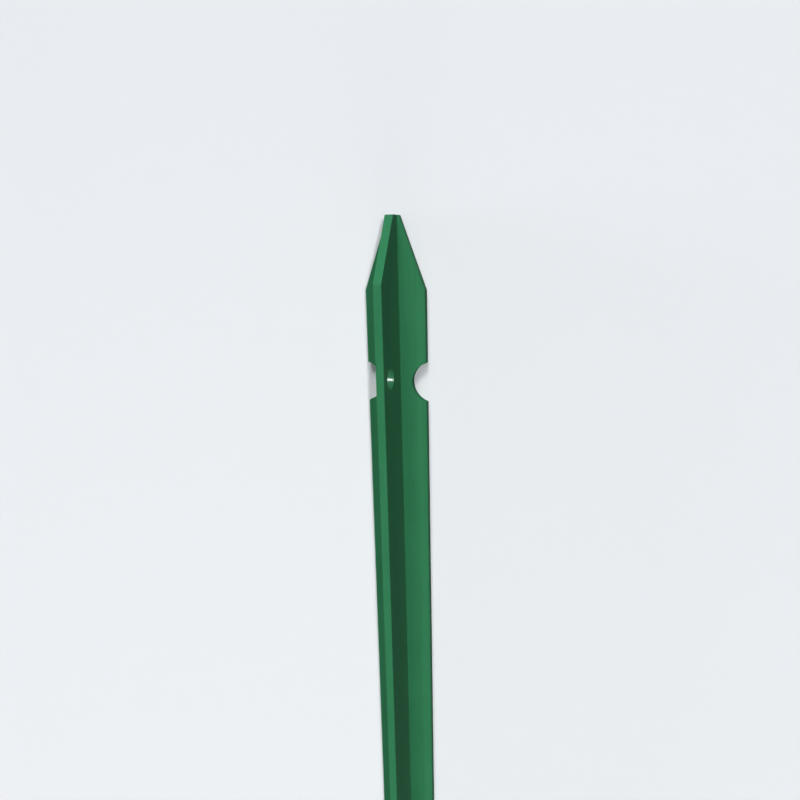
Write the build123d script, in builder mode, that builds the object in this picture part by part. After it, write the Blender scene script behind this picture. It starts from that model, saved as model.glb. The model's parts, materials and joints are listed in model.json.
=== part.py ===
"""Pointed fence post, rolled as an equal-leg steel tee.

The post lies as it comes to rest, flange down and stem up. Its length runs along Y with the
driving point at +Y. The origin is on the back of the flange, at the middle of its width and
of the post's length. All sizes are in millimetres.
"""

import os

from build123d import *

# The whole post
post_length = 1500.0

# The rolled tee section
flange_width = 30.0
flange_thickness = 4.0
section_height = 30.0
stem_thickness = 4.0
root_radius = 0.8
flange_toe_radius = 0.5
stem_toe_radius = 0.4

# The driving point: the flange is cut on both edges, the stem on its free edge
flange_cut_length = 35.0
flange_tip_width = 5.0
stem_cut_length = 30.5
tip_height = 10.0

# The pair of round notches in the flange's edges
notch_radius = 10.4
notch_depth = 7.2
notch_from_tip = 80.0

# The hole through the stem
hole_diameter = 10.0
hole_from_tip = 75.0
hole_from_stem_edge = 10.0

tip_y = post_length / 2

with BuildPart() as post:
    # Tee section, drawn at the tip and extruded back to the square-cut end
    with BuildSketch(Plane.XZ.offset(-tip_y)) as section:
        Rectangle(flange_width, flange_thickness, align=(Align.CENTER, Align.MIN))
        Rectangle(stem_thickness, section_height, align=(Align.CENTER, Align.MIN))
        flange_front = section.vertices().group_by(Axis.Y)[1].sort_by(Axis.X)
        fillet(flange_front[1:3], root_radius)
        flange_front = section.vertices().group_by(Axis.Y)[1].sort_by(Axis.X)
        fillet([flange_front[0], flange_front[-1]], flange_toe_radius)
        fillet(section.vertices().group_by(Axis.Y)[-1], stem_toe_radius)
    extrude(amount=post_length)

    # Driving point, seen from above: a triangle comes off each edge of the flange
    with BuildSketch(Plane.XY):
        with BuildLine():
            Polyline(
                (flange_tip_width / 2, tip_y),
                (flange_width / 2, tip_y - flange_cut_length),
                (flange_width / 2, tip_y),
                close=True,
            )
        make_face()
        mirror(about=Plane.YZ)
    extrude(amount=section_height, mode=Mode.SUBTRACT)

    # Driving point, seen from the side: a triangle comes off the free edge of the stem
    with BuildSketch(Plane.YZ):
        with BuildLine():
            Polyline(
                (tip_y, tip_height),
                (tip_y - stem_cut_length, section_height),
                (tip_y, section_height),
                close=True,
            )
        make_face()
    extrude(amount=flange_width / 2, both=True, mode=Mode.SUBTRACT)

    # Round notches, struck from centres just outside the flange's edges
    with BuildSketch(Plane.XY):
        notch_centre_x = flange_width / 2 - notch_depth + notch_radius
        notch_y = tip_y - notch_from_tip
        with Locations((-notch_centre_x, notch_y), (notch_centre_x, notch_y)):
            Circle(notch_radius)
    extrude(amount=flange_thickness, mode=Mode.SUBTRACT)

    # Round hole through the stem
    with BuildSketch(Plane.YZ):
        with Locations((tip_y - hole_from_tip, section_height - hole_from_stem_edge)):
            Circle(hole_diameter / 2)
    extrude(amount=stem_thickness / 2, both=True, mode=Mode.SUBTRACT)

post.part.label = "post"

os.makedirs("parts", exist_ok=True)
export_step(post.part, "parts/post.step")
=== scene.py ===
"""Coated steel tee post, lying on its flange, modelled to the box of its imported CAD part.

The post is rolled, cut to its point, notched, drilled and coated in that order, as the real
one is. Everything is in metres, in the part's own frame: Y runs along the post to its point,
Z up the stem, X across the flange.
"""

import json
import math

import bmesh
import bpy
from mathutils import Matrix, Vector


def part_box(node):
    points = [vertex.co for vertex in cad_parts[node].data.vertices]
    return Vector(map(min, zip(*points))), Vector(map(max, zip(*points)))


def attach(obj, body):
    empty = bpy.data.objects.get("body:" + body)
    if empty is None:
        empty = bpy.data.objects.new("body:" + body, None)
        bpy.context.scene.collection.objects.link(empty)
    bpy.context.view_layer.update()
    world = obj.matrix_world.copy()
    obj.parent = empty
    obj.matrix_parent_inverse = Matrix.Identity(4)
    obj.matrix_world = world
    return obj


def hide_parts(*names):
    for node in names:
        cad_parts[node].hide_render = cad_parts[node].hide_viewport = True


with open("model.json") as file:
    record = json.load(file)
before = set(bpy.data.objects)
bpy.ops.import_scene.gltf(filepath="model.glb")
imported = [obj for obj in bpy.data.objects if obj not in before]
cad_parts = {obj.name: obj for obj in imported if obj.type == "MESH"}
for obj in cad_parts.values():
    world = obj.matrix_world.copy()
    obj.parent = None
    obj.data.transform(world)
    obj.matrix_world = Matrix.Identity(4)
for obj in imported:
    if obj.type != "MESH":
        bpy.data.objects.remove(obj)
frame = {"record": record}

bl_info = {
    "name": "Tee Fence Post",
    "version": (1, 0, 0),
    "blender": (4, 5, 0),
    "location": "View3D > Sidebar > Fence Post",
    "description": "Models a pointed, coated steel tee post and the studio floor it lies on",
    "category": "Object",
}

MM = 0.001
TINY = 0.001 * MM
# Faces that meet at less than this lie flat with each other
FLAT_ANGLE = math.radians(0.05)
# Above the steps of the rolled radii, and below the corners where the point begins
CUT_EDGE_ANGLE = math.radians(17)
# With this many, the toe radius of the flange meets a single facet of each notch
NOTCH_FACETS = 84
HOLE_FACETS = 96
ROOT_STEPS = 8
TOE_STEPS = 6
COAT_STEPS = 3
# Depth of a punch, in thicknesses of the metal that it goes through
PUNCH_REACH = 3
# The highest weight, so that large faces set the normals at their corners
FLAT_FACE_WEIGHT = 100

# Octaves of finer noise in the rolling lines, the orange peel and the drift
LINES_DETAIL = 3.0
PEEL_DETAIL = 1.5
DRIFT_DETAIL = 4.0
# Rolling lines times drift, where the coat is at its thickest and at its thinnest
THICK_AT = 0.12
THIN_AT = 0.42
# Drift at which the roughness is at its lowest and at its highest
DRIFT_LOW = 0.3
DRIFT_HIGH = 0.7

# Metres across, so that its edge is far beyond the post
FLOOR_SIZE = 60.0
# Name, direction, share of the full light on the floor, and width in degrees
LAMPS = (
    ("left_lamp", (-0.31, 0.4, 1.0), 0.10, 5.3),
    ("right_lamp", (0.50, 0.2, 1.0), 0.42, 3.5),
    ("end_lamp", (0.0, 1.0, 0.62), 0.38, 20.0),
    ("side_lamp", (-1.0, 0.0, 0.06), 0.024, 20.0),
    ("back_lamp", (0.0, -1.0, 0.06), 0.035, 20.0),
)
# Seen only in the coat's gloss, where it makes the glint across the hole's wall
SHEEN_LAMP = ("sheen_lamp", (-0.31, 0.4, 1.0), 1.2, 22.0)
# The photograph's viewpoint, matched to the section and the point
CAMERA_PLACE = (94.15 * MM, 737.15 * MM, 300.3 * MM)
# Degrees about X, Y and Z, applied in the order Z, X, Y
CAMERA_TURN = (-13.804, 17.404, -1.437)
# Millimetres
CAMERA_LENS = 28.745

POST_NODE = "post"
# The CAD model's box, measured before anything is added
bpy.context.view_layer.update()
POST_LOW, POST_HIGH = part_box(POST_NODE)
MOUNTS = {mount["name"]: mount for mount in frame["record"]["mounts"]}
STEM_HOLE = MOUNTS["stem_hole"]


def linear(hex_colour):
    """An sRGB hex colour as the linear red, green, blue and alpha that Blender takes."""
    channels = [int(hex_colour[start:start + 2], 16) / 255 for start in (1, 3, 5)]
    return [c / 12.92 if c <= 0.04045 else ((c + 0.055) / 1.055) ** 2.4 for c in channels] + [1.0]


def length(name, description, default):
    """A size in metres that shows in the scene's own unit."""
    return bpy.props.FloatProperty(
        name=name,
        description=description,
        default=default,
        min=0.0,
        precision=4,
        unit="LENGTH",
        subtype="DISTANCE",
    )


def colour(name, description, hex_colour):
    """A colour with a picker, given as sRGB hex."""
    return bpy.props.FloatVectorProperty(
        name=name,
        description=description,
        default=linear(hex_colour),
        min=0.0,
        max=1.0,
        size=4,
        subtype="COLOR",
    )


def part_of_one(name, description, default):
    """A strength or roughness from 0 to 1."""
    return bpy.props.FloatProperty(
        name=name, description=description, default=default, min=0.0, max=1.0, subtype="FACTOR"
    )


def ior(name, description, default):
    """An index of refraction."""
    return bpy.props.FloatProperty(name=name, description=description, default=default, min=1.0, max=4.0)


class PostSizes(bpy.types.PropertyGroup):
    """The rolled section, the driving point, the notches, the hole and the coat's edges."""

    flange_thickness: length("Flange thickness", "Thickness of the flange", 4.0 * MM)
    stem_thickness: length("Stem thickness", "Thickness of the stem", STEM_HOLE["dims"]["length_mm"] * MM)
    root_radius: length("Root radius", "Radius in the corners of the tee", 0.8 * MM)
    flange_toe_radius: length("Flange toe radius", "Radius on the flange's free edges", 0.5 * MM)
    stem_toe_radius: length("Stem toe radius", "Radius on the stem's free edge", 0.4 * MM)
    flange_cut_length: length("Flange cut length", "Length of the point across the flange", 35.0 * MM)
    flange_tip_width: length("Flange tip width", "Width left on the flange at the tip", 5.0 * MM)
    stem_cut_length: length("Stem cut length", "Length of the bevel on the stem", 30.5 * MM)
    tip_height: length("Tip height", "Height left from the flange's back at the tip", 10.0 * MM)
    notch_radius: length("Notch radius", "Radius of the round notches", 10.4 * MM)
    notch_depth: length("Notch depth", "Depth of the notches from the flange's edge", 7.2 * MM)
    notch_from_tip: length("Notch from tip", "Distance of the notches from the tip", 80.0 * MM)
    hole_radius: length("Hole radius", "Radius of the hole in the stem", STEM_HOLE["dims"]["r_mm"] * MM)
    coat_edge_radius: length("Coat edge radius", "Radius that the coat gives to cut edges", 0.12 * MM)


class PostFinish(bpy.types.PropertyGroup):
    """The green coat, on the rolled faces and in the hole, and the marks in it."""

    coat: colour("Coat", "Colour of the powder coat", "#357d55")
    coat_thin: colour("Thin coat", "Colour where the coat lies thinner", "#31764f")
    roughness: part_of_one("Roughness", "Roughness of the coat", 0.42)
    roughness_drift: part_of_one("Roughness drift", "Change of the roughness from place to place", 0.04)
    sheen: part_of_one("Sheen", "Strength of the coat's sheen on the rolled faces", 0.05)
    sheen_ior: ior("Sheen IOR", "Refractive index of baked polyester", 1.5)
    sheen_roughness: part_of_one("Sheen roughness", "Roughness of the coat's sheen", 0.21)
    haze: part_of_one("Haze", "Strength of the grey haze that the powder's grain gives at a slant", 0.05)
    haze_roughness: part_of_one("Haze roughness", "Spread of the grey haze", 0.3)
    # The hole's two colours are paler than the rest of the coat: painted light, which brightens the wall that
    # the stem shades inside the hole.
    painted_light_hole: colour("Coat in the hole", "Colour of the powder coat on the hole's wall", "#3c8c60")
    painted_light_hole_thin: colour("Thin coat in the hole", "Colour of the hole's wall under a thin coat", "#388459")
    hole_sheen: part_of_one("Sheen in the hole", "Strength of the coat's sheen on the hole's wall", 0.25)
    hole_sheen_ior: ior("Sheen IOR in the hole", "Refractive index that matches the glint in the hole", 2.0)
    line_spacing: length("Line spacing", "Distance between the rolling lines", 1.5 * MM)
    line_length: length("Line length", "Length of the rolling lines", 100 * MM)
    peel_size: length("Orange peel", "Width of the orange peel's dimples", 1.2 * MM)
    drift_size: length("Drift", "Distance over which the coat's thickness drifts", 30 * MM)
    relief_depth: length("Relief depth", "Depth of the lines and the orange peel", 0.02 * MM)
    relief_strength: part_of_one("Relief strength", "Strength of the lines and the orange peel", 0.8)


class StudioSettings(bpy.types.PropertyGroup):
    """The floor and the room round it."""

    # Palest at the post: a painted pool of light, which fades out to the far colour.
    floor_painted_light: colour("Floor near the post", "Colour of the floor where it is palest", "#f0f2f5")
    floor_far: colour("Floor far out", "Colour of the floor far out and of the room", "#d3dae0")
    floor_bounce: colour("Light off the floor", "Colour of the light that the floor throws back", "#383c40")
    room_light: colour("Light of the room", "Colour of the light that the room throws back", "#282d32")
    fade_width: length("Fade width", "Width over which the floor fades to its far colour", 2700 * MM)


def add_node(tree, kind, inputs=None, **settings):
    """Adds a node with its settings. An input given as a socket is linked, any other is set."""
    node = tree.nodes.new(kind)
    for name, value in settings.items():
        setattr(node, name, value)
    for name, value in (inputs or {}).items():
        if isinstance(value, bpy.types.NodeSocket):
            tree.links.new(value, node.inputs[name])
        else:
            node.inputs[name].default_value = value
    return node


def deselect_all():
    """Leaves object mode with nothing selected."""
    if bpy.context.object and bpy.context.object.mode != "OBJECT":
        bpy.ops.object.mode_set(mode="OBJECT")
    bpy.ops.object.select_all(action="DESELECT")


def pick(kind, wanted):
    """Selects, in edit mode, the edges or faces that wanted says yes to."""
    bpy.ops.mesh.select_all(action="DESELECT")
    bpy.ops.mesh.select_mode(type=kind)
    mesh = bpy.context.edit_object.data
    shape = bmesh.from_edit_mesh(mesh)
    items = shape.edges if kind == "EDGE" else shape.faces
    found = [item for item in items if wanted(item)]
    if not found:
        raise RuntimeError("nothing to select on " + mesh.name)
    for item in found:
        item.select_set(True)
    bmesh.update_edit_mesh(mesh)


def join_flat_faces():
    """Joins the faces that lie flat with each other into one."""
    bpy.ops.mesh.select_all(action="SELECT")
    bpy.ops.mesh.dissolve_limited(angle_limit=FLAT_ANGLE)


def long_edge(half_width, height):
    """Test for the edges that run along the post, this far from its middle and this high."""
    def wanted(edge):
        start, end = (vert.co for vert in edge.verts)
        return (
            math.isclose(start.x, end.x, abs_tol=TINY)
            and math.isclose(abs(start.x), half_width, abs_tol=TINY)
            and math.isclose(start.z, height, abs_tol=TINY)
            and math.isclose(end.z, height, abs_tol=TINY)
        )
    return wanted


def roll_section(sizes):
    """The plain length of tee: a flat bar with the stem drawn out of it, then its radii."""
    size = POST_HIGH - POST_LOW
    middle = (POST_LOW + POST_HIGH) / 2
    stem_side = sizes.stem_thickness / 2
    bpy.ops.mesh.primitive_cube_add(size=1.0, location=(middle.x, middle.y, sizes.flange_thickness / 2))
    post = bpy.context.object
    post.scale = (size.x, size.y, sizes.flange_thickness)
    bpy.ops.object.transform_apply(location=True, rotation=True, scale=True)

    bpy.ops.object.mode_set(mode="EDIT")
    for side in (-stem_side, stem_side):
        bpy.ops.mesh.select_all(action="SELECT")
        bpy.ops.mesh.bisect(plane_co=(side, 0.0, 0.0), plane_no=(1.0, 0.0, 0.0))
    # The middle strip of the bar's top, from which the stem rises
    pick("FACE", lambda face: face.normal.z > 0.5 and abs(face.calc_center_median().x) < stem_side)
    rise = size.z - sizes.flange_thickness
    bpy.ops.mesh.extrude_region_move(TRANSFORM_OT_translate={"value": (0.0, 0.0, rise)})
    join_flat_faces()

    for half_width, height, radius, segments in (
        (stem_side, sizes.flange_thickness, sizes.root_radius, ROOT_STEPS),
        (size.x / 2, sizes.flange_thickness, sizes.flange_toe_radius, TOE_STEPS),
        (stem_side, size.z, sizes.stem_toe_radius, TOE_STEPS),
    ):
        pick("EDGE", long_edge(half_width, height))
        bpy.ops.mesh.bevel(offset=radius, segments=segments, affect="EDGES")
    return post


def cut_point(sizes):
    """The driving point: three straight cuts, two across the flange and one down the stem."""
    tip = POST_HIGH.y
    flange_step = (POST_HIGH.x - POST_LOW.x - sizes.flange_tip_width) / 2
    stem_step = POST_HIGH.z - sizes.tip_height
    cuts = [
        ((side * sizes.flange_tip_width / 2, tip, 0.0), (side * sizes.flange_cut_length, flange_step, 0.0))
        for side in (-1, 1)
    ]
    cuts.append(((0.0, tip, sizes.tip_height), (0.0, stem_step, sizes.stem_cut_length)))
    for point, outward in cuts:
        bpy.ops.mesh.select_all(action="SELECT")
        bpy.ops.mesh.bisect(plane_co=point, plane_no=outward, clear_outer=True, use_fill=True)
    join_flat_faces()
    bpy.ops.object.mode_set(mode="OBJECT")


def punch(post, radius, facets, depth, location, rotation=(0.0, 0.0, 0.0)):
    """Punches a round hole or notch through the post."""
    bpy.ops.mesh.primitive_cylinder_add(
        vertices=facets, radius=radius, depth=depth, location=location, rotation=rotation
    )
    cutter = bpy.context.object
    deselect_all()
    bpy.context.view_layer.objects.active = post
    post.select_set(True)
    cut = post.modifiers.new("punch", "BOOLEAN")
    cut.operation = "DIFFERENCE"
    cut.solver = "EXACT"
    cut.object = cutter
    bpy.ops.object.modifier_apply(modifier=cut.name)
    bpy.data.objects.remove(cutter)


def round_cut_edges(post, sizes):
    """The coat's own radius along every cut edge, with flat faces kept flat to the light."""
    coat = post.modifiers.new("coat_edges", "BEVEL")
    coat.width = sizes.coat_edge_radius
    coat.segments = COAT_STEPS
    coat.limit_method = "ANGLE"
    coat.angle_limit = CUT_EDGE_ANGLE
    coat.use_clamp_overlap = False
    bpy.ops.object.modifier_apply(modifier=coat.name)
    bpy.ops.object.shade_smooth()
    flat = post.modifiers.new("flat_faces", "WEIGHTED_NORMAL")
    flat.keep_sharp = False
    flat.weight = FLAT_FACE_WEIGHT
    bpy.ops.object.modifier_apply(modifier=flat.name)


def powder_coat(name, finish, colours, sheen, sheen_ior, haze):
    """Green polyester powder coat, sprayed and baked on rolled steel.

    It gives the eye one even green with a low sheen and a faint grey haze where it is seen at a
    slant, broken by a fine orange peel and by the lengthwise lines of the rolled steel under it.
    The two colours are those of the coat where it lies thick and where it lies thin; the hole's pair is
    painted paler, as painted light for the shaded hole.
    """
    material = bpy.data.materials.new(name)
    material.use_nodes = True
    tree = material.node_tree
    tree.nodes.clear()
    place = add_node(tree, "ShaderNodeTexCoord").outputs["Object"]

    # Rolling lines, long along the post and narrow across it
    across = 1 / finish.line_spacing
    lines_place = add_node(
        tree, "ShaderNodeMapping", {"Vector": place, "Scale": (across, 1 / finish.line_length, across)}
    )
    lines = add_node(
        tree,
        "ShaderNodeTexNoise",
        {"Vector": lines_place.outputs["Vector"], "Scale": 1.0, "Detail": LINES_DETAIL},
    )
    peel = add_node(
        tree,
        "ShaderNodeTexNoise",
        {"Vector": place, "Scale": 1 / finish.peel_size, "Detail": PEEL_DETAIL},
    )
    drift = add_node(
        tree,
        "ShaderNodeTexNoise",
        {"Vector": place, "Scale": 1 / finish.drift_size, "Detail": DRIFT_DETAIL},
    )

    # The coat is thin where a rolling line crosses a place that took little powder
    starved = add_node(
        tree, "ShaderNodeMath", {0: lines.outputs["Fac"], 1: drift.outputs["Fac"]}, operation="MULTIPLY"
    )
    share = add_node(
        tree,
        "ShaderNodeMapRange",
        {"Value": starved.outputs["Value"], "From Min": THICK_AT, "From Max": THIN_AT},
    )
    tint = add_node(
        tree,
        "ShaderNodeMix",
        {"Factor": share.outputs["Result"], "A": tuple(colours[0]), "B": tuple(colours[1])},
        data_type="RGBA",
    )
    gloss = add_node(
        tree,
        "ShaderNodeMapRange",
        {
            "Value": drift.outputs["Fac"],
            "From Min": DRIFT_LOW,
            "From Max": DRIFT_HIGH,
            "To Min": finish.roughness - finish.roughness_drift,
            "To Max": finish.roughness + finish.roughness_drift,
        },
    )
    relief = add_node(
        tree, "ShaderNodeMath", {0: lines.outputs["Fac"], 1: peel.outputs["Fac"]}, operation="ADD"
    )
    bump = add_node(
        tree,
        "ShaderNodeBump",
        {
            "Height": relief.outputs["Value"],
            "Strength": finish.relief_strength,
            "Distance": finish.relief_depth,
        },
    )
    shader = add_node(
        tree,
        "ShaderNodeBsdfPrincipled",
        {
            "Base Color": tint.outputs["Result"],
            "Roughness": gloss.outputs["Result"],
            "Normal": bump.outputs["Normal"],
            "Specular IOR Level": 0.0,
            "Sheen Weight": haze,
            "Sheen Roughness": finish.haze_roughness,
            "Coat Weight": sheen,
            "Coat Roughness": finish.sheen_roughness,
            "Coat IOR": sheen_ior,
            "Coat Normal": bump.outputs["Normal"],
        },
    )
    add_node(tree, "ShaderNodeOutputMaterial", {"Surface": shader.outputs["BSDF"]})
    return material


def coat_post(post, sizes, finish):
    """Coats the whole post, with a glossier coat where it has run smooth over the hole's wall, painted a
    paler green there as painted light for the shaded hole.
    """
    for name, colours, sheen, sheen_ior, haze in (
        (
            "green_polyester_powder_coat",
            (finish.coat, finish.coat_thin),
            finish.sheen,
            finish.sheen_ior,
            finish.haze,
        ),
        (
            # The hole's wall gets a paler green: painted light for the shade inside the hole.
            "green_coat_in_hole_with_painted_light",
            (finish.painted_light_hole, finish.painted_light_hole_thin),
            finish.hole_sheen,
            finish.hole_sheen_ior,
            0.0,
        ),
    ):
        post.data.materials.append(powder_coat(name, finish, colours, sheen, sheen_ior, haze))
    centre = Vector(STEM_HOLE["pos_m"])

    def on_hole_wall(face):
        place = face.calc_center_median() - centre
        return math.hypot(place.y, place.z) < sizes.hole_radius + TINY

    bpy.ops.object.mode_set(mode="EDIT")
    pick("FACE", on_hole_wall)
    post.active_material_index = 1
    bpy.ops.object.material_slot_assign()
    bpy.ops.object.mode_set(mode="OBJECT")


def seen_directly(tree):
    """1 for camera, glossy and transmission rays, and 0 for the light that a surface spreads."""
    rays = add_node(tree, "ShaderNodeLightPath").outputs
    seen = rays["Is Camera Ray"]
    for ray in ("Is Glossy Ray", "Is Transmission Ray"):
        seen = add_node(tree, "ShaderNodeMath", {0: seen, 1: rays[ray]}, operation="MAXIMUM").outputs["Value"]
    return seen


def studio_floor(settings):
    """Matt painted board with a painted pool of light round the post.

    It shows no sheen; the painted light is near white round the post and fades slowly to a pale blue grey
    further out.
    """
    material = bpy.data.materials.new("matt_painted_board")
    material.use_nodes = True
    tree = material.node_tree
    tree.nodes.clear()
    place = add_node(tree, "ShaderNodeTexCoord").outputs["Object"]
    reach = add_node(tree, "ShaderNodeVectorMath", {0: place}, operation="LENGTH")
    # Painted pool of light: the floor is palest at the post and darkens with distance from it.
    share = add_node(
        tree,
        "ShaderNodeMapRange",
        {"Value": reach.outputs["Value"], "From Max": settings.fade_width},
        interpolation_type="SMOOTHSTEP",
    )
    shade = add_node(
        tree,
        "ShaderNodeMix",
        {"Factor": share.outputs["Result"], "A": tuple(settings.floor_painted_light), "B": tuple(settings.floor_far)},
        data_type="RGBA",
    )
    board = add_node(
        tree,
        "ShaderNodeMix",
        {"Factor": seen_directly(tree), "A": tuple(settings.floor_bounce), "B": shade.outputs["Result"]},
        data_type="RGBA",
    )
    shader = add_node(tree, "ShaderNodeBsdfDiffuse", {"Color": board.outputs["Result"]})
    add_node(tree, "ShaderNodeOutputMaterial", {"Surface": shader.outputs["BSDF"]})
    return material


def studio_world(settings):
    """A pale room seen past the floor, which lights the post only faintly."""
    world = bpy.data.worlds.new("studio_room")
    world.use_nodes = True
    tree = world.node_tree
    tree.nodes.clear()
    light = add_node(
        tree,
        "ShaderNodeMix",
        {"Factor": seen_directly(tree), "A": tuple(settings.room_light), "B": tuple(settings.floor_far)},
        data_type="RGBA",
    )
    background = add_node(tree, "ShaderNodeBackground", {"Color": light.outputs["Result"]})
    add_node(tree, "ShaderNodeOutputWorld", {"Surface": background.outputs["Background"]})
    return world


def add_sun(name, towards, share, width):
    """A far white lamp in the direction towards, giving that share of full light to the floor."""
    direction = Vector(towards).normalized()
    bpy.ops.object.light_add(type="SUN", location=direction)
    lamp = bpy.context.object
    lamp.name = name
    lamp.rotation_euler = direction.to_track_quat("Z", "Y").to_euler()
    lamp.data.energy = math.pi * share / direction.z
    lamp.data.angle = math.radians(width)
    return lamp


class FENCE_OT_post(bpy.types.Operator):
    """Model the post: roll it, cut its point, punch it and coat it"""

    bl_idname = "fence.post"
    bl_label = "Coated tee post"

    def execute(self, context):
        sizes = context.scene.post_sizes
        deselect_all()
        post = roll_section(sizes)
        post.name = "coated_post"
        cut_point(sizes)
        notch_centre = POST_HIGH.x - sizes.notch_depth + sizes.notch_radius
        notch_y = POST_HIGH.y - sizes.notch_from_tip
        for side in (-1, 1):
            place = (side * notch_centre, notch_y, sizes.flange_thickness / 2)
            punch(post, sizes.notch_radius, NOTCH_FACETS, PUNCH_REACH * sizes.flange_thickness, place)
        hole_depth = PUNCH_REACH * sizes.stem_thickness
        across = (0.0, math.radians(90), 0.0)
        punch(post, sizes.hole_radius, HOLE_FACETS, hole_depth, STEM_HOLE["pos_m"], across)
        round_cut_edges(post, sizes)
        coat_post(post, sizes, context.scene.post_finish)
        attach(post, "root")
        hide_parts(POST_NODE)
        return {"FINISHED"}


class FENCE_OT_stage(bpy.types.Operator):
    """Lay the pale floor, hang the lamps and set up the camera"""

    bl_idname = "fence.stage"
    bl_label = "Studio stage"

    def execute(self, context):
        settings = context.scene.studio
        scene = context.scene
        deselect_all()
        bpy.ops.mesh.primitive_plane_add(size=FLOOR_SIZE)
        floor = bpy.context.object
        floor.name = "studio_floor"
        floor.data.materials.append(studio_floor(settings))
        scene.world = studio_world(settings)

        for lamp in LAMPS:
            add_sun(*lamp)
        sheen_lamp = add_sun(*SHEEN_LAMP)
        sheen_lamp.visible_diffuse = False
        sheen_lamp.data.use_shadow = False

        bpy.ops.object.camera_add(location=CAMERA_PLACE)
        camera = bpy.context.object
        camera.name = "camera"
        camera.data.lens = CAMERA_LENS
        camera.rotation_mode = "ZXY"
        camera.rotation_euler = [math.radians(angle) for angle in CAMERA_TURN]
        scene.camera = camera
        scene.view_settings.view_transform = "Standard"
        return {"FINISHED"}


class FENCE_PT_post(bpy.types.Panel):
    """Lists the post's sizes, its finish and the steps that build it"""

    bl_idname = "FENCE_PT_post"
    bl_label = "Tee fence post"
    bl_space_type = "VIEW_3D"
    bl_region_type = "UI"
    bl_category = "Fence Post"

    def draw(self, context):
        layout = self.layout
        for group in (context.scene.post_sizes, context.scene.post_finish, context.scene.studio):
            box = layout.box()
            for name in group.bl_rna.properties.keys():
                if name not in {"rna_type", "name"}:
                    box.prop(group, name)
        layout.operator("fence.post")
        layout.operator("fence.stage")


CLASSES = (PostSizes, PostFinish, StudioSettings, FENCE_OT_post, FENCE_OT_stage, FENCE_PT_post)


def register():
    for cls in CLASSES:
        bpy.utils.register_class(cls)
    bpy.types.Scene.post_sizes = bpy.props.PointerProperty(type=PostSizes)
    bpy.types.Scene.post_finish = bpy.props.PointerProperty(type=PostFinish)
    bpy.types.Scene.studio = bpy.props.PointerProperty(type=StudioSettings)


def unregister():
    del bpy.types.Scene.studio
    del bpy.types.Scene.post_finish
    del bpy.types.Scene.post_sizes
    for cls in reversed(CLASSES):
        bpy.utils.unregister_class(cls)


def main():
    register()
    bpy.ops.fence.post()
    bpy.ops.fence.stage()


if __name__ == "__main__":
    main()
